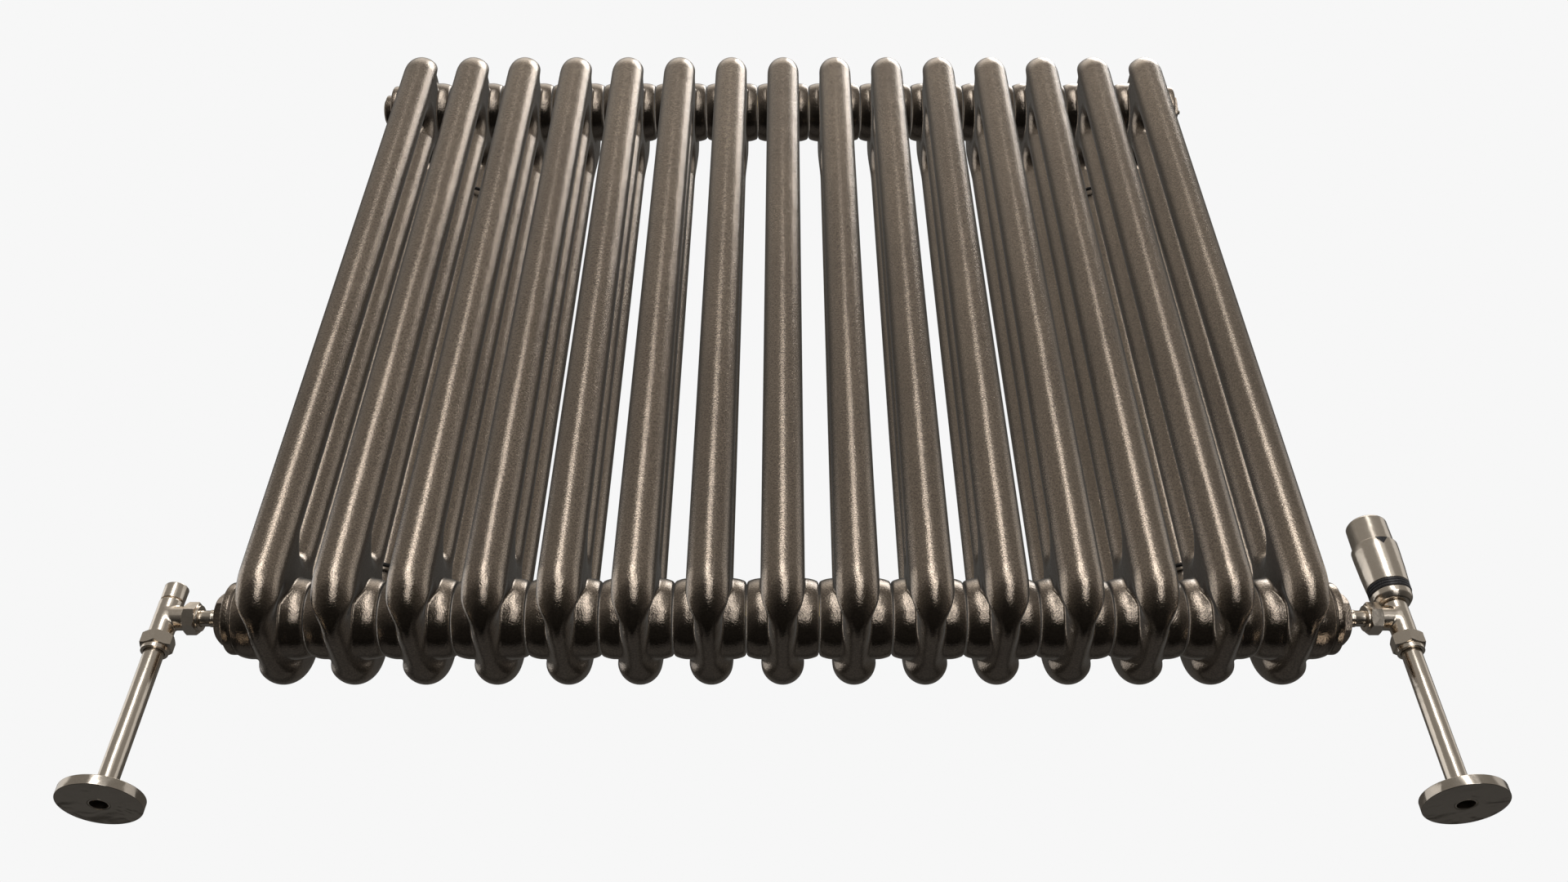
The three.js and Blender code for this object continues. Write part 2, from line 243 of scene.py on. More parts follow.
# ---- materials ----
class Nodes:
    """A short way to write a material's nodes."""

    def __init__(self, name):
        self.material = bpy.data.materials.new(name)
        self.material.use_nodes = True
        self.tree = self.material.node_tree
        self.shader = self.tree.nodes["Principled BSDF"]

    def add(self, kind, inputs=None, **settings):
        node = self.tree.nodes.new(kind)
        for key, value in settings.items():
            setattr(node, key, value)
        for key, value in (inputs or {}).items():
            self.set(node, key, value)
        return node

    def set(self, node, key, value):
        if isinstance(value, bpy.types.NodeSocket):
            self.tree.links.new(value, node.inputs[key])
        else:
            node.inputs[key].default_value = value

    def coordinates(self, stretch=(1, 1, 1)):
        """Object coordinates, shifted by a different amount on each object."""
        furthest = 7.0
        where = self.add("ShaderNodeTexCoord").outputs["Object"]
        chance = self.add("ShaderNodeObjectInfo").outputs["Random"]
        shift = self.math("MULTIPLY", chance, furthest)
        moved = self.add("ShaderNodeVectorMath", {0: where, 1: shift}, operation="ADD").outputs[0]
        return self.add("ShaderNodeVectorMath", {0: moved, 1: stretch}, operation="MULTIPLY").outputs[0]

    def noise(self, vector, scale, detail=3.0, roughness=0.5, distortion=0.0):
        inputs = {"Vector": vector, "Scale": scale, "Detail": detail, "Roughness": roughness,
                  "Distortion": distortion}
        return self.add("ShaderNodeTexNoise", inputs).outputs["Fac"]

    def ramp(self, value, stops):
        """A colour ramp from (position, colour) pairs; a plain number is a grey."""
        node = self.add("ShaderNodeValToRGB", {"Fac": value})
        elements = node.color_ramp.elements
        while len(elements) < len(stops):
            elements.new(0.5)
        for element, (position, colour) in zip(elements, stops):
            element.position = position
            grey = isinstance(colour, (int, float))
            element.color = (colour, colour, colour, 1) if grey else (*colour, 1)
        return node.outputs["Color"]

    def span(self, value, low, high, to_low, to_high):
        inputs = {"Value": value, "From Min": low, "From Max": high, "To Min": to_low, "To Max": to_high}
        return self.add("ShaderNodeMapRange", inputs).outputs["Result"]

    def math(self, operation, a, b):
        return self.add("ShaderNodeMath", {0: a, 1: b}, operation=operation).outputs[0]

    def bump(self, height, distance, strength=1.0, over=None):
        inputs = {"Height": height, "Distance": distance, "Strength": strength}
        if over:
            inputs["Normal"] = over
        return self.add("ShaderNodeBump", inputs).outputs["Normal"]

    def finish(self, **inputs):
        for key, value in inputs.items():
            self.set(self.shader, key.replace("_", " "), value)
        return self.material


def cast_metal():
    """Polished and lacquered cast iron: dark bronze, with soft lumps, a leathery skin and fine grain, and
    painted shade, because ambient occlusion darkens its colour in the recesses."""
    n = Nodes("cast_metal")
    even = n.coordinates()
    drawn = n.coordinates((1, 1, 0.35))
    lumps = n.noise(drawn, 42, 2, 0.5)
    skin = n.noise(even, 330, 2, 0.5)
    grain = n.noise(n.coordinates((1, 1, 1.3)), 700, 2, 0.6)
    patches = n.noise(drawn, 14, 4, 0.6)
    metal = n.ramp(patches, [(0.3, (0.35, 0.287, 0.229)), (0.7, (0.45, 0.369, 0.292))])
    # painted shade: ambient occlusion darkens the colour where the surface is hemmed in, between the columns
    # and on the hubs, and the fine grain is multiplied in with it
    open_sky = n.add("ShaderNodeAmbientOcclusion", {"Distance": 0.04}, samples=4).outputs["AO"]
    painted_recess_shade_and_grain = n.math("MULTIPLY", n.span(open_sky, 0.1, 0.7, 0.3, 1.0), n.span(grain, 0.35, 0.65, 0.75, 1.25))
    colour = n.add("ShaderNodeVectorMath", {0: metal, 1: painted_recess_shade_and_grain}, operation="MULTIPLY").outputs[0]
    rough = n.span(skin, 0.3, 0.7, 0.15, 0.21)
    normal = n.bump(lumps, 0.0007)
    normal = n.bump(skin, 0.00004, over=normal)
    normal = n.bump(grain, 0.0002, over=normal)
    return n.finish(Base_Color=colour, Metallic=1.0, Roughness=rough, Normal=normal,
                    Coat_Weight=0.6, Coat_Roughness=0.14, Coat_Normal=normal)


def satin_nickel(name, stretch=(1, 1, 1), tone=1.0, wave=0.0005):
    """Warm satin nickel plate, with faint brushing along the stretched axis, over gentle waves."""
    n = Nodes(name)
    brushed = n.coordinates(stretch)
    fine = n.noise(brushed, 900, 3, 0.6)
    waves = n.noise(n.coordinates(), 45, 2, 0.5, 0.4)
    low = tuple(tone * c for c in (0.88, 0.78, 0.66))
    high = tuple(tone * c for c in (0.97, 0.87, 0.75))
    colour = n.ramp(fine, [(0.3, low), (0.7, high)])
    rough = n.span(fine, 0.3, 0.7, 0.18, 0.23)
    normal = n.bump(waves, wave)
    normal = n.bump(fine, 0.000006, over=normal)
    return n.finish(Base_Color=colour, Metallic=1.0, Roughness=rough, Normal=normal)


def turned_brass():
    n = Nodes("turned_brass")
    fine = n.noise(n.coordinates((1, 1, 8)), 400, 3, 0.6)
    colour = n.ramp(fine, [(0.3, (0.50, 0.36, 0.16)), (0.7, (0.66, 0.50, 0.25))])
    rough = n.span(fine, 0.3, 0.7, 0.3, 0.45)
    return n.finish(Base_Color=colour, Metallic=1.0, Roughness=rough, Normal=n.bump(fine, 0.00005))


def dark_steel():
    n = Nodes("dark_steel")
    skin = n.noise(n.coordinates(), 500, 3, 0.6)
    colour = n.ramp(skin, [(0.3, (0.020, 0.018, 0.017)), (0.7, (0.045, 0.041, 0.038))])
    rough = n.span(skin, 0.3, 0.7, 0.40, 0.60)
    return n.finish(Base_Color=colour, Metallic=0.2, Roughness=rough, Normal=n.bump(skin, 0.00015))


def dark_plastic():
    n = Nodes("dark_plastic")
    skin = n.noise(n.coordinates(), 900, 2, 0.5)
    rough = n.span(skin, 0.3, 0.7, 0.22, 0.32)
    return n.finish(Base_Color=(0.035, 0.034, 0.036, 1), Roughness=rough, Normal=n.bump(skin, 0.00002))


def pale_floor():
    """Matt and pale from above, and clear from below, where the low camera looks through it."""
    n = Nodes("pale_floor")
    n.finish(Base_Color=(0.80, 0.80, 0.80, 1), Roughness=0.9)
    clear = n.add("ShaderNodeBsdfTransparent").outputs[0]
    below = n.add("ShaderNodeNewGeometry").outputs["Backfacing"]
    mix = n.add("ShaderNodeMixShader", {0: below, 1: n.shader.outputs[0], 2: clear}).outputs[0]
    n.set(n.tree.nodes["Material Output"], "Surface", mix)
    return n.material


CAST = cast_metal()
NICKEL = satin_nickel("satin_nickel")
PIPE_NICKEL = satin_nickel("pipe_nickel", (1, 1, 0.08))
PLATE_NICKEL = satin_nickel("plate_nickel", tone=0.75, wave=0.002)
BRASS = turned_brass()
STEEL = dark_steel()
PLASTIC = dark_plastic()


# ---- the sections ----
def smooth_least(a, b, blend):
    """The lesser of two distances, with the crease between them filled to a small radius."""
    share = np.clip(0.5 + 0.5 * (b - a) / blend, 0, 1)
    return b * (1 - share) + a * share - blend * share * (1 - share)


def rounded_disc(radial, axial, radius, half_length, corner):
    """The distance to a disc with rounded rims, from the distances to its axis and middle plane."""
    out_r = radial - (radius - corner)
    out_x = np.abs(axial) - (half_length - corner)
    outside = np.hypot(np.maximum(out_r, 0), np.maximum(out_x, 0))
    return outside + np.minimum(np.maximum(out_r, out_x), 0) - corner


def eased_step(value, low, high):
    """0 below low, 1 above high, and smooth between."""
    share = np.clip((value - low) / (high - low), 0, 1)
    return share**2 * (3 - 2 * share)


def skeleton_distance(y, z):
    """The distance, in the section's middle plane, to the lines of the columns and the pads of the
    heads. The section is everything within a column's radius of them."""
    across = np.abs(y) - (COLUMN_STEP - CORNER_R)
    along = np.abs(z) - (HALF_HEIGHT - COLUMN_R - CORNER_R)
    corner = np.hypot(np.maximum(across, 0), np.maximum(along, 0))
    outside = corner + np.minimum(np.maximum(across, along), 0) - CORNER_R
    beside = np.abs(np.abs(y) - SLOT_R)
    beyond = np.maximum(np.abs(z) - SLOT_OUT, 0)
    in_slot = SLOT_R - np.hypot(beside, beyond)
    return np.maximum(np.maximum(outside, in_slot), 0)


def section_distance(x, y, z):
    """The casting: columns and heads, which narrow to a ridge from column to column on the outside
    of the hubs, and hubs that flow into them."""
    behind_front = eased_step(y, -0.9 * COLUMN_STEP, -0.3 * COLUMN_STEP)  # 1 at the two columns behind
    straight = 1 - eased_step(np.abs(z), SLOT_OUT, HUB_OUT)
    thinner = (COLUMN_R - BACK_COLUMN_R) * behind_front * straight
    out = np.abs(z) - HUB_OUT
    over_hub = (1 - eased_step(-y, *RIDGE_FRONT)) * (1 - eased_step(y, *RIDGE_BACK))
    ridge = over_hub * eased_step(out, *RIDGE_RISE)
    narrowed = x * (1 + (1 / RIDGE_SHARE - 1) * ridge)
    casting = np.hypot(skeleton_distance(y, z), narrowed) - COLUMN_R + thinner
    radial = np.hypot(y, out)
    taper = HUB_TAPER * np.clip((np.abs(x) - COLUMN_R) / (HALF_WIDTH - COLUMN_R), 0, 1) ** 2
    hub = rounded_disc(radial + taper, x, HUB_R, HALF_WIDTH, HUB_CORNER)
    outer_side = eased_step(out / np.maximum(radial, 1), 0.6, 0.95)
    crease = HUB_CREASE + HUB_CREASE * outer_side
    return np.maximum(smooth_least(casting, hub, crease), HUB_BORE_R - radial)


def section_mesh():
    """A section on a grid that is closest beside the columns, where the hubs meet them, and long
    along the straight columns."""
    fine, coarse = 1.8, 18.0
    beside_step, column_step = 1.0, 1.55
    flank = np.arange(COLUMN_R - 1, HALF_WIDTH + 1 + 0.9 * beside_step, beside_step)
    columns = np.arange(-COLUMN_R + 2.5, COLUMN_R - 2, column_step)
    xs = np.concatenate([-flank[::-1], columns, flank])
    ys = np.arange(-HALF_DEPTH - fine, HALF_DEPTH + 2 * fine, fine)
    head = np.arange(SLOT_OUT - 4 * fine, HALF_HEIGHT + 2 * fine, fine)
    straight = np.linspace(-head[0], head[0], 2 + int(2 * head[0] / coarse))[1:-1]
    zs = np.concatenate([-head[::-1], straight, head])
    return surface_mesh("section", section_distance, xs, ys, zs)


casting_mesh = section_mesh()
for index in range(1, SECTIONS + 1):
    node = f"section_{index}"
    piece = place(f"casting_{index}", casting_mesh, middle(node), "radiator", CAST, node)
    piece.visible_glossy = False  # the soft studio shows in the columns behind too


# ---- the upper nipples, at the joints above the CAD ones ----
NIPPLE_WALL = 3


def nipple_mesh():
    low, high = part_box("nipple_1")
    half = (high.x - low.x) / 2 / MM
    radius = (high.z - low.z) / 2 / MM
    bore = radius - NIPPLE_WALL
    profile = [(bore, -half), (radius, -half), (radius, half), (bore, half), (bore, -half)]
    return turned_mesh("upper_nipple", profile, 48)


hub_top = middle("vent_plug").z
upper_mesh = nipple_mesh()
for index in range(1, SECTIONS):
    at = Vector((middle(f"nipple_{index}").x, middle("nipple_1").y, hub_top))
    piece = place(f"upper_nipple_{index}", upper_mesh, at, "radiator", BRASS, turn=ALONG_X)
    piece.visible_glossy = False
    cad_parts[f"nipple_{index}"].visible_glossy = False


# ---- plugs and bushes, drawn along +Z from the end of the row ----
LAST_SECTION = f"section_{SECTIONS}"
SPIGOT_END = (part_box("vent_plug")[0].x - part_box(LAST_SECTION)[1].x) / MM - GAP / 2
SPIGOT_R = HUB_BORE_R - 0.5
COLLAR_R = (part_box("blank_plug")[1].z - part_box("blank_plug")[0].z) / MM / 2
COLLAR_OUT = 7.5
FLANGE_OUT = (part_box("right_bush")[1].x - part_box(LAST_SECTION)[1].x) / MM - GAP / 2
PLUG_BOSS_R = 19.5
PLUG_FACE_R = 15
PLUG_FACE_OUT = 19.2
VENT_HEX_OUT = 13
VENT_HEX_FLATS = 36
VENT_BOSS_R = 7.5
VENT_SCREW_R = 3
BUSH_FLATS = 38
TAIL_R = 6.7
CUT_ANGLE = math.radians(20)  # edges sharper than this are kept crisp on the hexagons
SQUARE_ANGLE = math.radians(30)  # and on the square ends


def hexagon(low, high, flats, chamfer=1.2, steps=5):
    """Profile points of a hexagon whose corners are turned off at both ends."""
    inner = flats / 2 - 0.2  # just inside the flats
    outer = flats / math.sqrt(3) + 0.1  # just past the corners
    foot = []
    for i in range(steps + 1):
        t = i / steps
        foot.append((inner + (outer - inner) * t, low + chamfer * t, flats))
    head = [(radius, low + high - height, across) for radius, height, across in reversed(foot)]
    return [*foot, *head]


def square_end(corner_r, flats, low, high):
    """Profile points of a square for a key, with its edges eased."""
    return eased([(corner_r, low, flats, 4), (corner_r, high, flats, 4), (0, high, flats, 4)], 0.4)


def plug_collar(bore):
    """The spigot in the hub and the rounded collar outside it, from the bore outwards."""
    inner_r, rounding = 20, 2.4
    collar = [(SPIGOT_R, GAP / 2), (COLLAR_R, GAP / 2), (COLLAR_R, COLLAR_OUT), (inner_r, COLLAR_OUT)]
    return [(bore, SPIGOT_END), (SPIGOT_R, SPIGOT_END), *eased(collar, rounding)]


def blank_plug_mesh():
    boss = [
        (PLUG_BOSS_R, COLLAR_OUT), (PLUG_BOSS_R, FLANGE_OUT), (PLUG_FACE_R + 0.2, FLANGE_OUT),
        (PLUG_FACE_R, PLUG_FACE_OUT), (0, PLUG_FACE_OUT),
    ]
    return turned_mesh("blank_plug", [*plug_collar(0), *eased(boss, 1.2)])


def vent_plug_mesh():
    bore = VENT_SCREW_R + SLACK
    nut = hexagon(COLLAR_OUT, VENT_HEX_OUT, VENT_HEX_FLATS)
    boss = eased([(VENT_BOSS_R, VENT_HEX_OUT), (VENT_BOSS_R, FLANGE_OUT), (bore, FLANGE_OUT)], 0.6)
    return turned_mesh("vent_plug", [*plug_collar(bore), *nut, *boss, (bore, SPIGOT_END)], sharp=CUT_ANGLE)


def vent_screw_mesh():
    foot, low, high = 2, FLANGE_OUT - 1, FLANGE_OUT + 3.3
    square = square_end(2.45, 3.6, low, high)
    profile = [(0, foot), (VENT_SCREW_R, foot), (VENT_SCREW_R, low), *square]
    return turned_mesh("vent_screw", profile, 48, SQUARE_ANGLE)


def bush_mesh():
    bore = TAIL_R + SLACK
    nut = hexagon(COLLAR_OUT, FLANGE_OUT, BUSH_FLATS, 1.8)
    profile = [*plug_collar(bore), *nut, (bore, FLANGE_OUT), (bore, SPIGOT_END)]
    return turned_mesh("bush", profile, sharp=CUT_ANGLE)


row_ends = {
    "left": Vector((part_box("section_1")[0].x - GAP / 2 * MM, middle("vent_plug").y, 0)),
    "right": Vector((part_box(LAST_SECTION)[1].x + GAP / 2 * MM, middle("vent_plug").y, 0)),
}
high_up = Vector((0, 0, hub_top))
low_down = Vector((0, 0, middle("nipple_1").z))
place("blank_end", blank_plug_mesh(), row_ends["left"] + high_up, "radiator", CAST,
      "blank_plug", ALONG_MINUS_X)
place("vent_end", vent_plug_mesh(), row_ends["right"] + high_up, "radiator", CAST,
      "vent_plug", ALONG_X)
place("bleed", vent_screw_mesh(), row_ends["right"] + high_up, "bleed_screw", NICKEL,
      "vent_screw", ALONG_X)
place("left_reducer", bush_mesh(), row_ends["left"] + low_down, "radiator", CAST,
      "left_bush", ALONG_MINUS_X)
place("right_reducer", bush_mesh(), row_ends["right"] + low_down, "radiator", CAST,
      "right_bush", ALONG_X)


# ---- valves and pipes, drawn about each valve's axis from the floor up ----
def size(node):
    low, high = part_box(node)
    return (high - low) / MM


HUB_Z = middle("nipple_1").z / MM
PIPE_R = size("right_pipe").y / 2
PIPE_WALL = 1.1
PIPE_TOP = size("right_pipe").z
PLATE_R = size("right_floor_plate").y / 2
PLATE_RIM = 6
PLATE_THICK = size("right_floor_plate").z
BODY_R = size("lockshield_body").y / 2
BODY_CORNER = 0.5
BODY_CREASE = 1.6  # how far the crease between a valve's barrel and its branch is filled
WATERWAY_R = 6
SOCKET_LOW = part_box("lockshield_body")[0].z / MM
LOCKSHIELD_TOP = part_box("lockshield_body")[1].z / MM
TRV_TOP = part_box("thermostatic_body")[1].z / MM
NUT_FLATS = 24
NUT_COLLAR_R = 11
valve_x = middle("right_pipe").x
NUT_NEAR = (valve_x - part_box("right_union_nut")[1].x) / MM
NUT_END = (valve_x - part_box("right_union_nut")[0].x) / MM
NUT_FAR = NUT_END - 2
BRANCH_END = NUT_NEAR + 6
TAIL_END = (valve_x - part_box("right_tail")[0].x) / MM
TAIL_WALL = 1.7
TAIL_BAND = (37.5, 39.5)  # from the valve's axis, where a raised band starts and ends
TAIL_BAND_R = TAIL_R + 0.5
COMPRESSION_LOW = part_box("right_compression_nut")[0].z / MM
COMPRESSION_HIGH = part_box("right_compression_nut")[1].z / MM


def pipe_mesh():
    bore = PIPE_R - PIPE_WALL
    wall = eased([(bore, 0), (PIPE_R, 0), (PIPE_R, PIPE_TOP), (bore, PIPE_TOP), (bore, 0)], 0.3, 2)
    return turned_mesh("pipe", wall)


def floor_plate_mesh():
    bore = PIPE_R + SLACK
    rim = eased([(bore, 0), (PLATE_R, 0), (PLATE_R, PLATE_THICK), (PLATE_R - PLATE_RIM, PLATE_THICK)], 0.5)
    crown = eased([(bore + 4, PLATE_THICK), (bore + 2, PLATE_THICK), (bore, PLATE_THICK), (bore, 0)], 0.3, 2)
    return turned_mesh("floor_plate", [*rim, *crown], 192)


def union_nut_mesh():
    wide, narrow, flange = BODY_R + SLACK, TAIL_R + SLACK, BRANCH_END + 3
    nut = hexagon(NUT_NEAR, NUT_FAR, NUT_FLATS)
    collar = eased([(NUT_COLLAR_R, NUT_FAR), (NUT_COLLAR_R, NUT_END), (narrow, NUT_END)], 1.0)
    bore = [(narrow, flange), (wide, flange), (wide, NUT_NEAR)]
    return turned_mesh("union_nut", [(wide, NUT_NEAR), *nut, *collar, *bore], sharp=CUT_ANGLE)


def tail_mesh():
    bore, flange_r = TAIL_R - TAIL_WALL, BODY_R - SLACK
    near, shoulder = BRANCH_END + GAP, BRANCH_END + 2.7
    band_start, band_end = TAIL_BAND
    profile = [
        (bore, near), (flange_r, near), (flange_r, shoulder), (TAIL_R, shoulder),
        (TAIL_R, band_start), (TAIL_BAND_R, band_start), (TAIL_BAND_R, band_end), (TAIL_R, band_end),
        (TAIL_R, TAIL_END), (bore, TAIL_END), (bore, near),
    ]
    return turned_mesh("tail", eased(profile, 0.25, 2), 64)


def compression_nut_mesh():
    bore, wide, hex_low = PIPE_R + SLACK, BODY_R + SLACK, COMPRESSION_LOW + 4
    collar = eased([(bore, COMPRESSION_LOW), (NUT_COLLAR_R, COMPRESSION_LOW), (NUT_COLLAR_R, hex_low)], 0.8)
    nut = hexagon(hex_low, COMPRESSION_HIGH, NUT_FLATS)
    inside = [(wide, COMPRESSION_HIGH), (wide, hex_low + 1), (bore, hex_low + 1), (bore, COMPRESSION_LOW)]
    return turned_mesh("compression_nut", [*collar, *nut, *inside], sharp=CUT_ANGLE)


def valve_body_distance(top, neck_r, neck_top):
    """The distance to a valve body whose branch leaves along -X, with a narrower neck on top."""
    def distance(x, y, z):
        radial = np.hypot(x, y)
        from_branch = np.hypot(y, z - HUB_Z)
        half_barrel, half_branch = (top - SOCKET_LOW) / 2, BRANCH_END / 2
        half_neck = (neck_top - top) / 2 + 1  # 1 mm into the barrel, and 1 mm past neck_top
        barrel = rounded_disc(radial, z - (SOCKET_LOW + top) / 2, BODY_R, half_barrel, BODY_CORNER)
        branch = rounded_disc(from_branch, x + half_branch, BODY_R, half_branch, BODY_CORNER)
        neck = rounded_disc(radial, z - (top + neck_top) / 2, neck_r, half_neck, 0.4)
        body = np.minimum(smooth_least(barrel, branch, BODY_CREASE), neck)
        socket = np.maximum(radial - (PIPE_R + SLACK), z - (PIPE_TOP + 0.5))
        stem = np.maximum(radial - neck_r * 0.4, HUB_Z - z)
        up = np.maximum(radial - WATERWAY_R, z - HUB_Z - WATERWAY_R)
        along = np.maximum(from_branch - WATERWAY_R, x)
        return np.maximum(body, -np.minimum(np.minimum(socket, np.minimum(up, along)), stem))
    return distance


def valve_body_mesh(name, top, neck_r, neck_top):
    step = 0.7
    xs = np.arange(-BRANCH_END - 1, BODY_R + 1.5, step)
    ys = np.arange(-BODY_R - 1, BODY_R + 1.5, step)
    zs = np.arange(SOCKET_LOW - 1, neck_top + 1.5, step)
    return surface_mesh(name, valve_body_distance(top, neck_r, neck_top), xs, ys, zs)


def cap_mesh():
    low, high = LOCKSHIELD_TOP + GAP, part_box("lockshield_cap")[1].z / MM
    bore, foot_r, top_r, thick = 7.5, 9.6, 9.9, 4
    outside = eased([(bore, low), (foot_r, low), (top_r, high), (0, high)], 0.9)
    return turned_mesh("cap", [*outside, (0, high - thick), (bore, high - thick), (bore, low)])


def spindle_mesh():
    low, high = (corner.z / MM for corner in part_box("lockshield_spindle"))
    disc_r, stem_r, square_low = size("lockshield_spindle").y / 2, 3, high - 4.5
    foot = [(0, low), (disc_r, low), (disc_r, low + 3.5), (stem_r, low + 6), (stem_r, square_low)]
    return turned_mesh("spindle", [*foot, *square_end(2.7, 4, square_low, high)], 48, SQUARE_ANGLE)


def trv_collar_mesh():
    low, high = (corner.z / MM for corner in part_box("thermostatic_collar"))
    top_r = size("thermostatic_collar").y / 2
    foot_r, side_r, bore, side_low = top_r - 4, top_r - 0.6, top_r - 7.8, low + 4.5
    wall = [(bore, low), (foot_r, low), (side_r, side_low), (top_r, high), (bore, high), (bore, low)]
    return turned_mesh("trv_collar", eased(wall, 1.2))


HEAD_LOW, HEAD_TOP = (corner.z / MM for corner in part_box("thermostatic_head"))
HEAD_R = size("thermostatic_head").y / 2
HEAD_BORE_R = 12.5
HEAD_BORE_TOP = 250
GRIP_TOP = HEAD_LOW + 7.7
GRIP_R = 16.7
SHOULDER = 241
LID_R = 17.4


def head_grip_mesh():
    """Three rounded ribs round the foot of the head."""
    ribs, steps, rib_out = 3, 8, 0.8
    step = (GRIP_TOP - HEAD_LOW) / ribs
    profile = [(HEAD_BORE_R, HEAD_LOW)]
    for rib in range(ribs):
        for i in range(steps + 1):
            t = i / steps
            profile.append((GRIP_R + rib_out * math.sin(math.pi * t) ** 0.5, HEAD_LOW + (rib + t) * step))
    return turned_mesh("head_grip", [*profile, (HEAD_BORE_R, GRIP_TOP), (HEAD_BORE_R, HEAD_LOW)])


def head_mesh():
    """A barrel that widens upwards to a shoulder, with a lid above it, and hollow for the sensor."""
    barrel = [
        (HEAD_BORE_R, GRIP_TOP), (17.6, GRIP_TOP), (18.6, GRIP_TOP + 16), (HEAD_R, SHOULDER - 6),
        (HEAD_R, SHOULDER), (LID_R, SHOULDER + 0.6), (LID_R - 0.2, HEAD_TOP - 2), (LID_R - 1.9, HEAD_TOP),
        (0, HEAD_TOP),
    ]
    bore = [(0, HEAD_BORE_TOP), (HEAD_BORE_R, HEAD_BORE_TOP), (HEAD_BORE_R, GRIP_TOP)]
    return turned_mesh("head", [*eased(barrel, 0.5), *bore])


def head_marker_mesh():
    """A small triangle on the front of the head, just below its shoulder, with its point downwards."""
    half, top, point = math.radians(16), SHOULDER - 0.2, SHOULDER - 7
    inner, outer = HEAD_R - 0.1, HEAD_R + 0.15
    narrowing = 0.98  # from the top to the point
    rows, columns = 6, 6
    points, faces = [], []
    for radius in (inner, outer):
        for row in range(rows + 1):
            t = row / rows
            for column in range(columns + 1):
                angle = (2 * column / columns - 1) * half * (1 - narrowing * t)
                points.append((radius * math.sin(angle), -radius * math.cos(angle), top + (point - top) * t))
    wide = columns + 1
    layer = wide * (rows + 1)
    for row in range(rows):
        first, last = row * wide, row * wide + columns
        faces.append((first, layer + first, layer + first + wide, first + wide))
        faces.append((last, last + wide, layer + last + wide, layer + last))
        for a in range(first, last):
            faces.append((a, a + wide, a + wide + 1, a + 1))
            faces.append((layer + a, layer + a + 1, layer + a + wide + 1, layer + a + wide))
    for a in range(columns):
        b = a + rows * wide
        faces.append((a, a + 1, layer + a + 1, layer + a))
        faces.append((b, layer + b, layer + b + 1, b + 1))
    return new_mesh("head_marker", np.array(points) * MM, faces)


def place_valve(side, towards_radiator, turn):
    """The fittings that both valves have. The compression nut is left a little off square."""
    axis = Vector((middle(f"{side}_pipe").x, middle(f"{side}_pipe").y, 0))
    branch = axis + low_down
    slack = Matrix.Rotation(turn, 4, "Z")
    place(f"{side}_riser", pipe_mesh(), axis, "radiator", PIPE_NICKEL, f"{side}_pipe")
    place(f"{side}_cover", floor_plate_mesh(), axis, f"{side}_plate", PLATE_NICKEL,
          f"{side}_floor_plate")
    place(f"{side}_coupling", union_nut_mesh(), branch, "radiator", NICKEL,
          f"{side}_union_nut", towards_radiator)
    place(f"{side}_stub", tail_mesh(), branch, "radiator", NICKEL,
          f"{side}_tail", towards_radiator)
    place(f"{side}_gland", compression_nut_mesh(), axis, "radiator", NICKEL,
          f"{side}_compression_nut", slack)
    return axis


OFF_SQUARE = math.radians(10)
left_axis = place_valve("left", ALONG_X, OFF_SQUARE)
right_axis = place_valve("right", ALONG_MINUS_X, -OFF_SQUARE)
place("lockshield", valve_body_mesh("lockshield", LOCKSHIELD_TOP - 1, 8, LOCKSHIELD_TOP), left_axis,
      "radiator", NICKEL, "lockshield_body", HALF_TURN)
place("lockshield_cover", cap_mesh(), left_axis, "cap", NICKEL, "lockshield_cap")
place("spindle_stem", spindle_mesh(), left_axis, "spindle", BRASS, "lockshield_spindle")
place("thermostatic_valve", valve_body_mesh("thermostatic_valve", TRV_TOP - 8, 8.6, TRV_TOP), right_axis,
      "radiator", NICKEL, "thermostatic_body")
place("collar", trv_collar_mesh(), right_axis, "radiator", NICKEL, "thermostatic_collar")
place("head_shell", head_mesh(), right_axis, "head", NICKEL, "thermostatic_head")
place("head_grip", head_grip_mesh(), right_axis, "head", PLASTIC, "thermostatic_head")
place("head_marker", head_marker_mesh(), right_axis, "head", PLASTIC, "thermostatic_head")

# ---- wall brackets ----
back_column = Vector((0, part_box("section_1")[1].y - COLUMN_R * MM, 0))
TO_WALL = -back_column.y / MM
HOOK_OUT_R = (back_column.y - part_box("left_lower_bracket")[0].y) / MM
STRIP = 3
ARM_HALF_WIDTH = 5
HOOK_IN_R = HOOK_OUT_R - STRIP
WALL_PLATE = (15, 2, 30)  # half its width, depth and height
SCREW_HOLE_R = 2.75
SCREW_OUT = 20  # from the plate's middle up or down to a screw hole


def overlap(parts, corner):
    """The distance to where all the parts overlap, with rounded edges."""
    inner = [part + corner for part in parts]
    outside = np.sqrt(sum(np.maximum(part, 0) ** 2 for part in inner))
    return outside + np.minimum(np.maximum.reduce(inner), 0) - corner


def bracket_distance(side):
    """The distance to a bracket, about its column's axis: a flat strip hooked round the column on
    one side, an arm, and a plate on the wall."""
    def distance(x, y, z):
        radial = np.hypot(x, y)
        past_end = np.where(y > 0, -ARM_HALF_WIDTH, 0) - side * x
        thick = np.abs(z) - STRIP / 2
        hook = overlap([radial - HOOK_OUT_R, HOOK_IN_R - radial, past_end, thick], 0.5)
        arm = overlap([np.abs(x) - ARM_HALF_WIDTH, HOOK_IN_R + 0.5 - y, y - TO_WALL + 1, thick], 0.5)
        half_width, half_depth, half_height = WALL_PLATE
        from_plate = np.abs(y - TO_WALL + half_depth) - half_depth
        hole = SCREW_HOLE_R - np.hypot(x, np.abs(z) - SCREW_OUT)
        plate = overlap([np.abs(x) - half_width, from_plate, np.abs(z) - half_height, hole], 0.7)
        return np.minimum(smooth_least(hook, arm, 0.5), plate)
    return distance


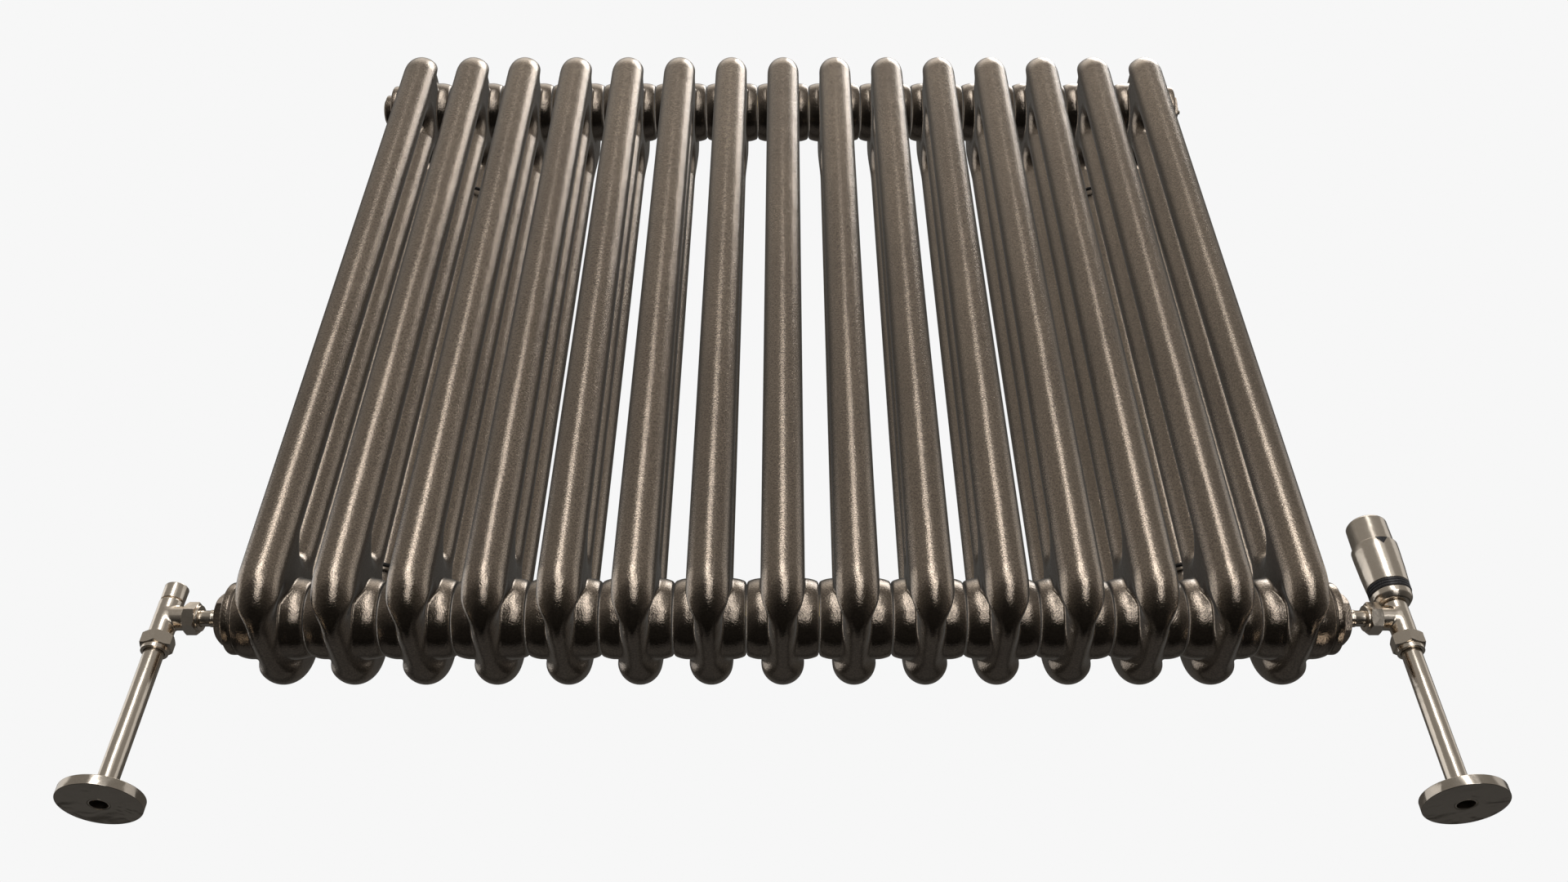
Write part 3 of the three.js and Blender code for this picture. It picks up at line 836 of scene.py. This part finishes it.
def bracket_mesh(name, side):
    step = 0.8
    xs = np.arange(-HOOK_OUT_R - 1, HOOK_OUT_R + 2, step)
    ys = np.arange(-HOOK_OUT_R - 1, TO_WALL + 1.5, step)
    edge = np.arange(3 * step, WALL_PLATE[2] + 2, 2 * step)
    zs = np.concatenate([-edge[::-1], np.arange(-2 * step, 2 * step + 0.1, step), edge])
    return surface_mesh(name, bracket_distance(side), xs, ys, zs)


for side, section, way in (("left", "section_2", 1), ("right", f"section_{SECTIONS - 1}", -1)):
    mesh = bracket_mesh(f"{side}_bracket", way)
    for level in ("lower", "upper"):
        node = f"{side}_{level}_bracket"
        at = back_column + Vector((middle(section).x, 0, middle(node).z))
        place(f"{side}_{level}_hook", mesh, at, "radiator", STEEL, node)


# ---- the finish of the pieces that keep their CAD shape ----
kept_finish = {f"nipple_{index}": BRASS for index in range(1, SECTIONS)}
kept_finish |= {"thermostatic_sensor": BRASS, "left_olive": BRASS, "right_olive": BRASS}
kept_finish |= {"thermostatic_pin": STEEL}
for node, finish in kept_finish.items():
    for material_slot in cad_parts[node].material_slots:
        material_slot.material = finish


# ---- camera, light and floor ----
CAMERA_AT = Vector((0.00109, -1.0511, -0.4974))  # in metres, below the floor
CAMERA_PITCH = math.radians(42.33)  # upwards
FOCAL_LENGTH = 31.77
SENSOR_WIDTH = 36
FLOOR_DROP = 0.5 * MM  # so that the floor doesn't lie in the plates' undersides


def add_camera():
    data = bpy.data.cameras.new("camera")
    data.lens = FOCAL_LENGTH
    data.sensor_width = SENSOR_WIDTH
    camera = bpy.data.objects.new("camera", data)
    bpy.context.scene.collection.objects.link(camera)
    camera.location = CAMERA_AT
    camera.rotation_euler = (math.pi / 2 + CAMERA_PITCH, 0, 0)
    bpy.context.scene.camera = camera


def soft_light(name, azimuth, elevation, width, height, brightness, away=14.0):
    """A soft box a long way off, facing the radiator. Azimuth is to the right of straight in front,
    and all the angles are in degrees. Brightness is what a mirror would show of it."""
    target = middle("section_8")
    target.x = 0
    turn, rise = math.radians(azimuth), math.radians(elevation)
    way = Vector((math.sin(turn) * math.cos(rise), -math.cos(turn) * math.cos(rise), math.sin(rise)))
    data = bpy.data.lights.new(name, "AREA")
    data.shape = "RECTANGLE"
    data.size = 2 * away * math.tan(math.radians(width / 2))
    data.size_y = 2 * away * math.tan(math.radians(height / 2))
    data.energy = brightness * math.pi * data.size * data.size_y
    light = bpy.data.objects.new(name, data)
    bpy.context.scene.collection.objects.link(light)
    light.location = target + way * away
    light.rotation_euler = way.to_track_quat("Z", "Y").to_euler()
    light.visible_camera = False


def add_world():
    """White paper to the camera; in reflections a soft studio, bright above and dark below and behind."""
    world = bpy.data.worlds.new("studio")
    world.use_nodes = True
    bpy.context.scene.world = world
    tree = world.node_tree
    tree.nodes.clear()
    where = tree.nodes.new("ShaderNodeTexCoord")
    split = tree.nodes.new("ShaderNodeSeparateXYZ")
    ramp = tree.nodes.new("ShaderNodeValToRGB")
    studio = tree.nodes.new("ShaderNodeBackground")
    paper = tree.nodes.new("ShaderNodeBackground")
    path = tree.nodes.new("ShaderNodeLightPath")
    mix = tree.nodes.new("ShaderNodeMixShader")
    out = tree.nodes.new("ShaderNodeOutputWorld")
    height = tree.nodes.new("ShaderNodeMapRange")
    height.inputs["From Min"].default_value = -1
    behind = tree.nodes.new("ShaderNodeMapRange")
    behind.inputs["From Max"].default_value = 0.4
    behind.inputs["To Min"].default_value = 1.0
    behind.inputs["To Max"].default_value = 0.35
    paper.inputs["Color"].default_value = (0.93, 0.93, 0.93, 1)
    warm_green, warm_blue = 0.95, 0.88
    # how bright the studio is, from straight down at 0 to straight up at 1
    stops = [(0.10, 0.015), (0.42, 0.085), (0.52, 0.20), (0.87, 0.23), (0.94, 0.40), (1.0, 1.2)]
    while len(ramp.color_ramp.elements) < len(stops):
        ramp.color_ramp.elements.new(0.5)
    for element, (position, grey) in zip(ramp.color_ramp.elements, stops):
        element.position = position
        element.color = (grey, grey * warm_green, grey * warm_blue, 1)
    links = [
        (where.outputs["Generated"], split.inputs[0]),
        (split.outputs["Z"], height.inputs["Value"]),
        (height.outputs["Result"], ramp.inputs["Fac"]),
        (ramp.outputs["Color"], studio.inputs["Color"]),
        (split.outputs["Y"], behind.inputs["Value"]),
        (behind.outputs["Result"], studio.inputs["Strength"]),
        (path.outputs["Is Camera Ray"], mix.inputs[0]),
        (studio.outputs[0], mix.inputs[1]),
        (paper.outputs[0], mix.inputs[2]),
        (mix.outputs[0], out.inputs["Surface"]),
    ]
    for source, target in links:
        tree.links.new(source, target)


def add_floor():
    reach = 4.0
    corners = [(-reach, -reach, 0), (reach, -reach, 0), (reach, reach, 0), (-reach, reach, 0)]
    mesh = new_mesh("floor", corners, [(0, 1, 2, 3)])
    mesh.materials.append(pale_floor())
    floor = bpy.data.objects.new("floor", mesh)
    bpy.context.scene.collection.objects.link(floor)
    floor.location.z = -FLOOR_DROP
    floor.visible_glossy = False
    floor.visible_shadow = False


STUDIO_LIGHTS = [  # name, azimuth, elevation, width, height, brightness
    ("front_strip", -1, 19, 16, 36, 2.7),
    ("high_strip", -1, 41, 12, 10, 0.7),
    ("front_low", 10, -8, 26, 16, 2.4),
    ("front_floor", 10, -30, 22, 15, 1.5),
    ("left_wash", -108, 17, 48, 34, 0.6),
    ("right_wash", 96, 22, 32, 36, 0.34),
    ("front_fill", 4, 18, 46, 36, 0.25),
    ("right_overhead", 100, 70, 26, 26, 2.8),
    ("back_floor", 180, -42, 80, 40, 0.05),
]

add_camera()
add_world()
add_floor()
for settings in STUDIO_LIGHTS:
    soft_light(*settings)
bpy.context.scene.view_settings.view_transform = "Standard"
